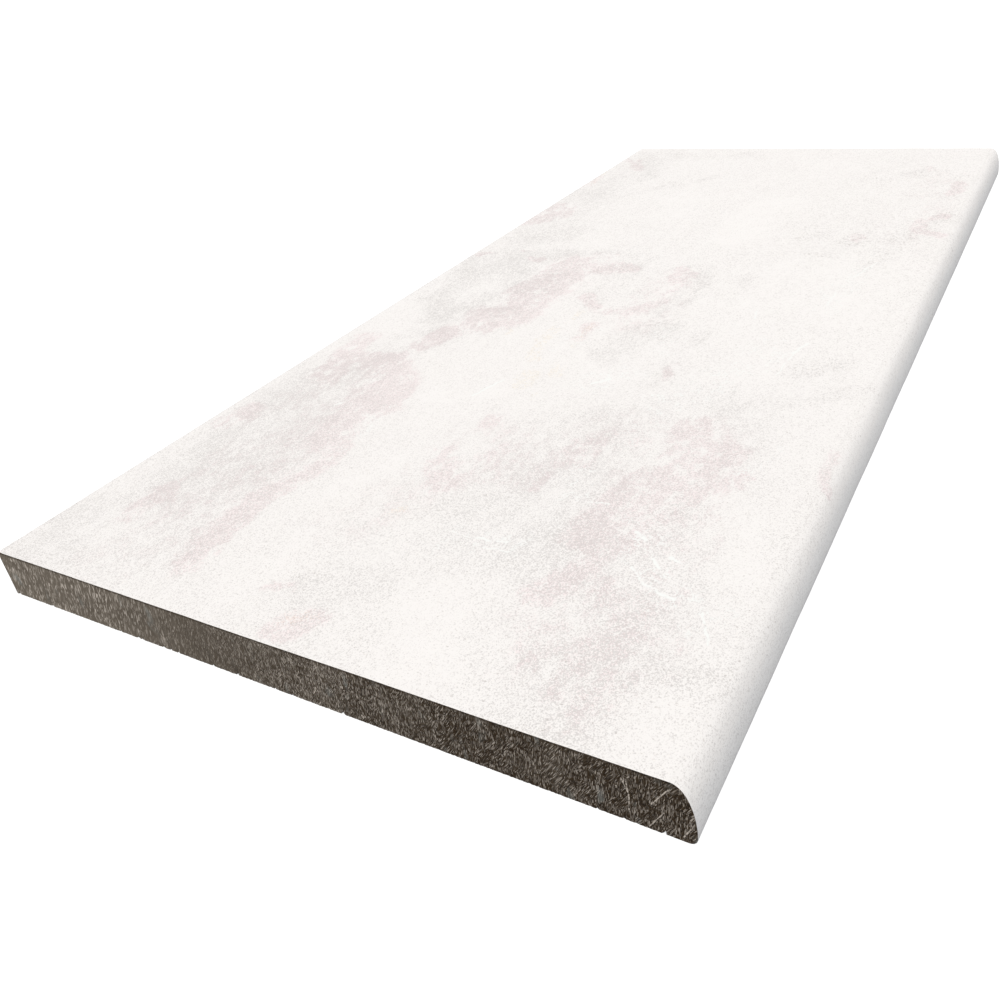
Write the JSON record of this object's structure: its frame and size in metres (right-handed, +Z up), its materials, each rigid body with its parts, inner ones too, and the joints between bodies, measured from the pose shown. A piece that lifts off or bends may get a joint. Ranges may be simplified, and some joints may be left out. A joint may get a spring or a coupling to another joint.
{
  "type": "stair tread tile",
  "caption": "Rectangular stair tread tile with a rounded front nosing, square sawn ends and a shallow keyed underside.",
  "frame": {"origin": "middle of the underside", "axes": "+X along the nosing, -Y out of the nosing towards the person who climbs, +Z up out of the walking face"},
  "size_m": [0.75, 0.33, 0.024],
  "materials": {
    "fired_tile": "matte"
  },
  "bodies": {
    "root": {"tread_tile": "fired_tile"}
  },
  "joints": []
}
